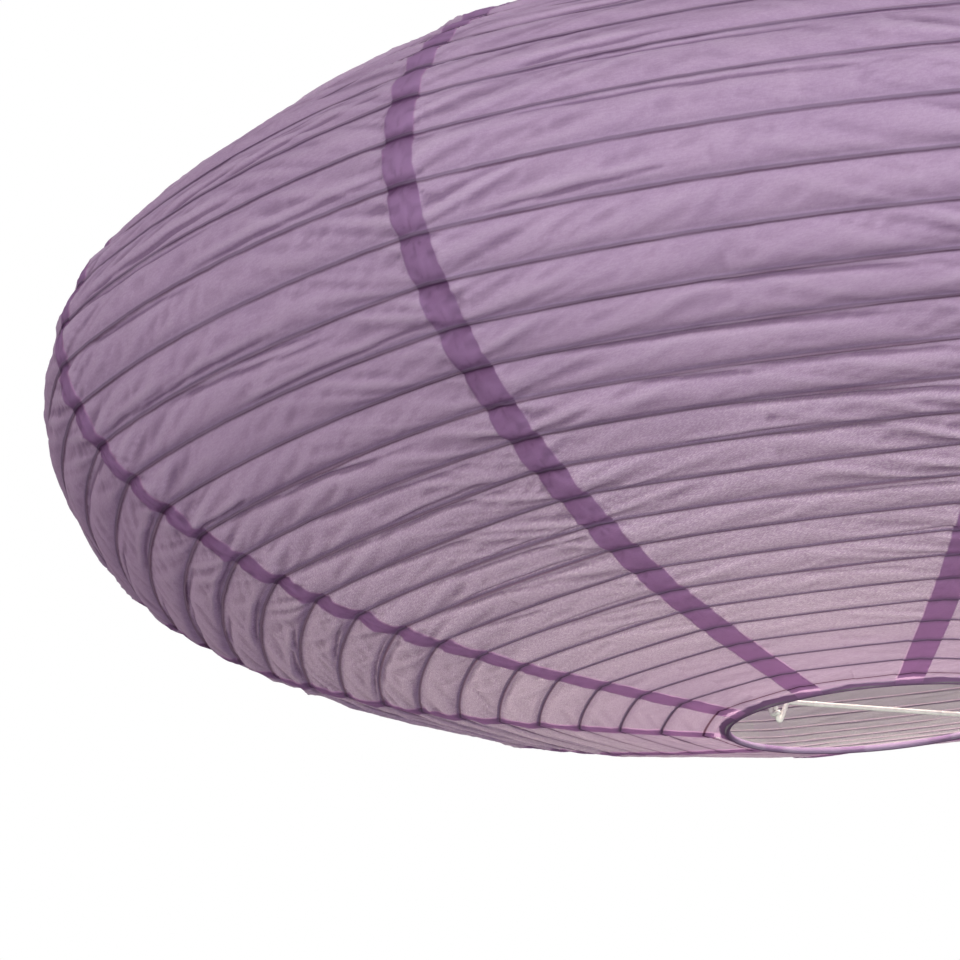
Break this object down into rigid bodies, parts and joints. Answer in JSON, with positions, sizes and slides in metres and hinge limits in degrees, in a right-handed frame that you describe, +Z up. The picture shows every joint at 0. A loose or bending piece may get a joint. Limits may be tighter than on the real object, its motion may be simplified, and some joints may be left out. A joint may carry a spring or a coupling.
{
  "type": "paper lantern pendant light",
  "caption": "Wide, flat paper lantern shade with spiral wire ribs and a folding wire expander, hanging by a cord and lampholder from a small ceiling cup.",
  "frame": {"origin": "middle of the ceiling bracket's top face, where the lamp meets the ceiling", "axes": "+Z up, the lamp hangs below the origin on the Z axis; -Y is the side the picture is taken from"},
  "size_m": [0.6022, 0.5936, 0.4504],
  "materials": {
    "lilac_paper": "crinkled translucent tissue",
    "rib_wire": "dark thin wire",
    "white_wire": "off-white coated wire",
    "white_plastic": "moulded satin",
    "cord_sheath": "soft white sheath",
    "nickel": "nickel plated",
    "brass": "bright",
    "ceramic": "unglazed",
    "black_insulator": "black",
    "opal_diffuser": "opal, lit",
    "circuit_board": "lacquered board"
  },
  "bodies": {
    "ceiling": {"ceiling_bracket": "nickel", "ceiling_cup": "white_plastic", "cup_gland": "white_plastic", "cup_screw_right": "nickel", "cup_screw_left": "nickel", "terminal_block": "white_plastic", "cord_tail": "cord_sheath"},
    "pendant": {"cord": "cord_sheath"},
    "lamp": {"holder_cap": "white_plastic", "holder_skirt": "white_plastic", "socket_shell": "brass", "socket_base": "ceramic", "centre_contact": "brass", "cord_clamp": "white_plastic", "terminal_screw_right": "brass", "terminal_screw_left": "brass", "terminal_wire_right": "brass", "terminal_wire_left": "brass", "top_ring": "rib_wire", "top_hem": "lilac_paper", "rib_spiral": "rib_wire", "expander_bridge_upper": "white_wire", "expander_leg_right": "white_wire", "expander_leg_left": "white_wire", "paper_gore_01": "lilac_paper", "paper_gore_02": "lilac_paper", "paper_gore_03": "lilac_paper", "paper_gore_04": "lilac_paper", "paper_gore_05": "lilac_paper", "paper_gore_06": "lilac_paper", "paper_gore_07": "lilac_paper", "paper_gore_08": "lilac_paper", "paper_gore_09": "lilac_paper", "paper_gore_10": "lilac_paper"},
    "shade_ring": {"shade_ring": "white_plastic"},
    "bulb_axis": {"bulb_insulator": "black_insulator", "bulb_tip": "nickel"},
    "bulb": {"bulb_cap": "nickel", "bulb_body": "white_plastic", "bulb_diffuser": "opal_diffuser", "led_board": "circuit_board", "driver_board": "circuit_board"},
    "shade_lower": {"bottom_ring": "rib_wire", "bottom_hem": "lilac_paper", "expander_bar_lower": "white_wire"}
  },
  "joints": [
    {"name": "cord_swing", "type": "hinge", "parent": "ceiling", "child": "pendant", "pos_m": [0, 0, -0.054], "axis": [1, 0, 0], "range_deg": [-12, 12]},
    {"name": "lamp_turn", "type": "hinge", "parent": "pendant", "child": "lamp", "pos_m": [0, 0, -0.15], "axis": [0, 0, 1], "range_deg": [-180, 180]},
    {"name": "shade_fold", "type": "slide", "parent": "lamp", "child": "shade_lower", "axis": [0, 0, 1], "range_m": [0, 0.14], "deforming": ["paper_gore_01", "paper_gore_02", "paper_gore_03", "paper_gore_04", "paper_gore_05", "paper_gore_06", "paper_gore_07", "paper_gore_08", "paper_gore_09", "paper_gore_10", "rib_spiral"]},
    {"name": "shade_ring_turn", "type": "hinge", "parent": "lamp", "child": "shade_ring", "pos_m": [0, 0, -0.207], "axis": [0, 0, -1], "range_deg": [0, 720]},
    {"name": "bulb_travel", "type": "slide", "parent": "lamp", "child": "bulb_axis", "axis": [0, 0, -1], "range_m": [0, 0.018]},
    {"name": "bulb_unscrew", "type": "hinge", "parent": "bulb_axis", "child": "bulb", "pos_m": [0, 0, -0.22], "axis": [0, 0, -1], "range_deg": [0, 1800]}
  ],
  "couplings": [
    {"joint": "bulb_travel", "follows": "bulb_unscrew", "m_per_rad": 0.00057296}
  ]
}
